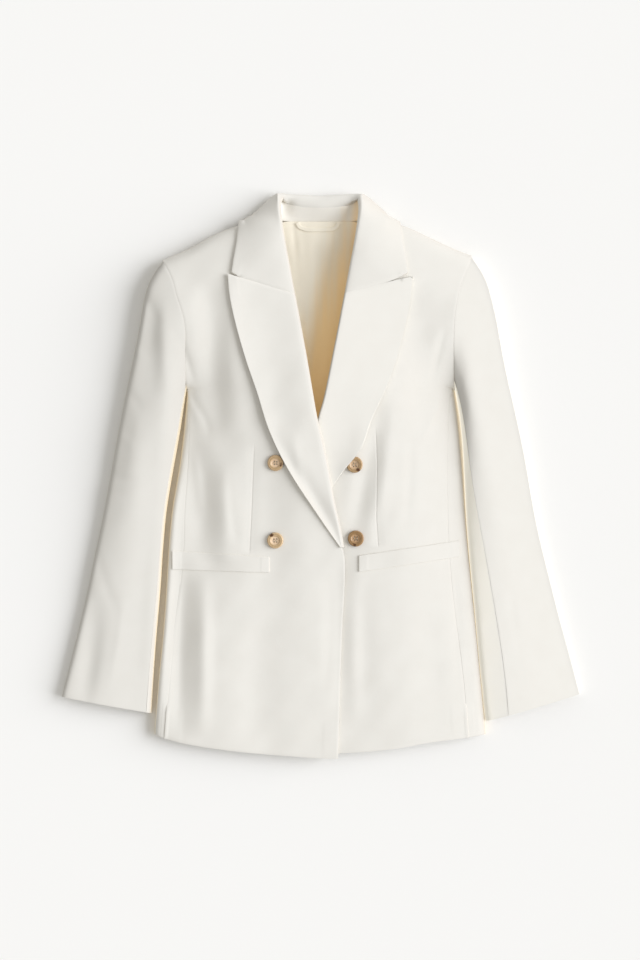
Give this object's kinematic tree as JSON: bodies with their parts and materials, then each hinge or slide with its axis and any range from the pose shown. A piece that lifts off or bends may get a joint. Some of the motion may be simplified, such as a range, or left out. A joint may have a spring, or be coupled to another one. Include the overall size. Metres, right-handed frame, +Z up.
{
  "type": "double breasted blazer",
  "caption": "Double breasted blazer with peak lapels, welt pockets and two-piece sleeves, laid flat face up; a hollow shell of cloth panels to be worn or displayed.",
  "frame": {"origin": "on the surface it lies on, below the middle of the garment's bounding box", "axes": "+Y from hem to collar, +X towards the wearer's left, +Z up off the surface, out of the fronts"},
  "size_m": [0.692, 0.7536, 0.0434],
  "materials": {
    "cloth": "matte ivory crepe suiting",
    "lining": "smooth satin lining, cream",
    "button": "polished tan horn look with a dark edge"
  },
  "bodies": {
    "root": {"back": "cloth", "front_right": "cloth", "front_left": "cloth", "side_right": "cloth", "side_left": "cloth", "sleeve_top_right": "cloth", "sleeve_under_right": "cloth", "sleeve_top_left": "cloth", "sleeve_under_left": "cloth", "lapel_right": "cloth", "lapel_left": "cloth", "collar": "cloth", "collar_stand": "cloth", "pocket_welt_right": "cloth", "pocket_welt_left": "cloth", "back_lining": "lining", "hanger_loop": "lining", "button_upper_right": "button", "button_lower_right": "button", "button_upper_left": "button", "button_lower_left": "button"}
  },
  "joints": []
}
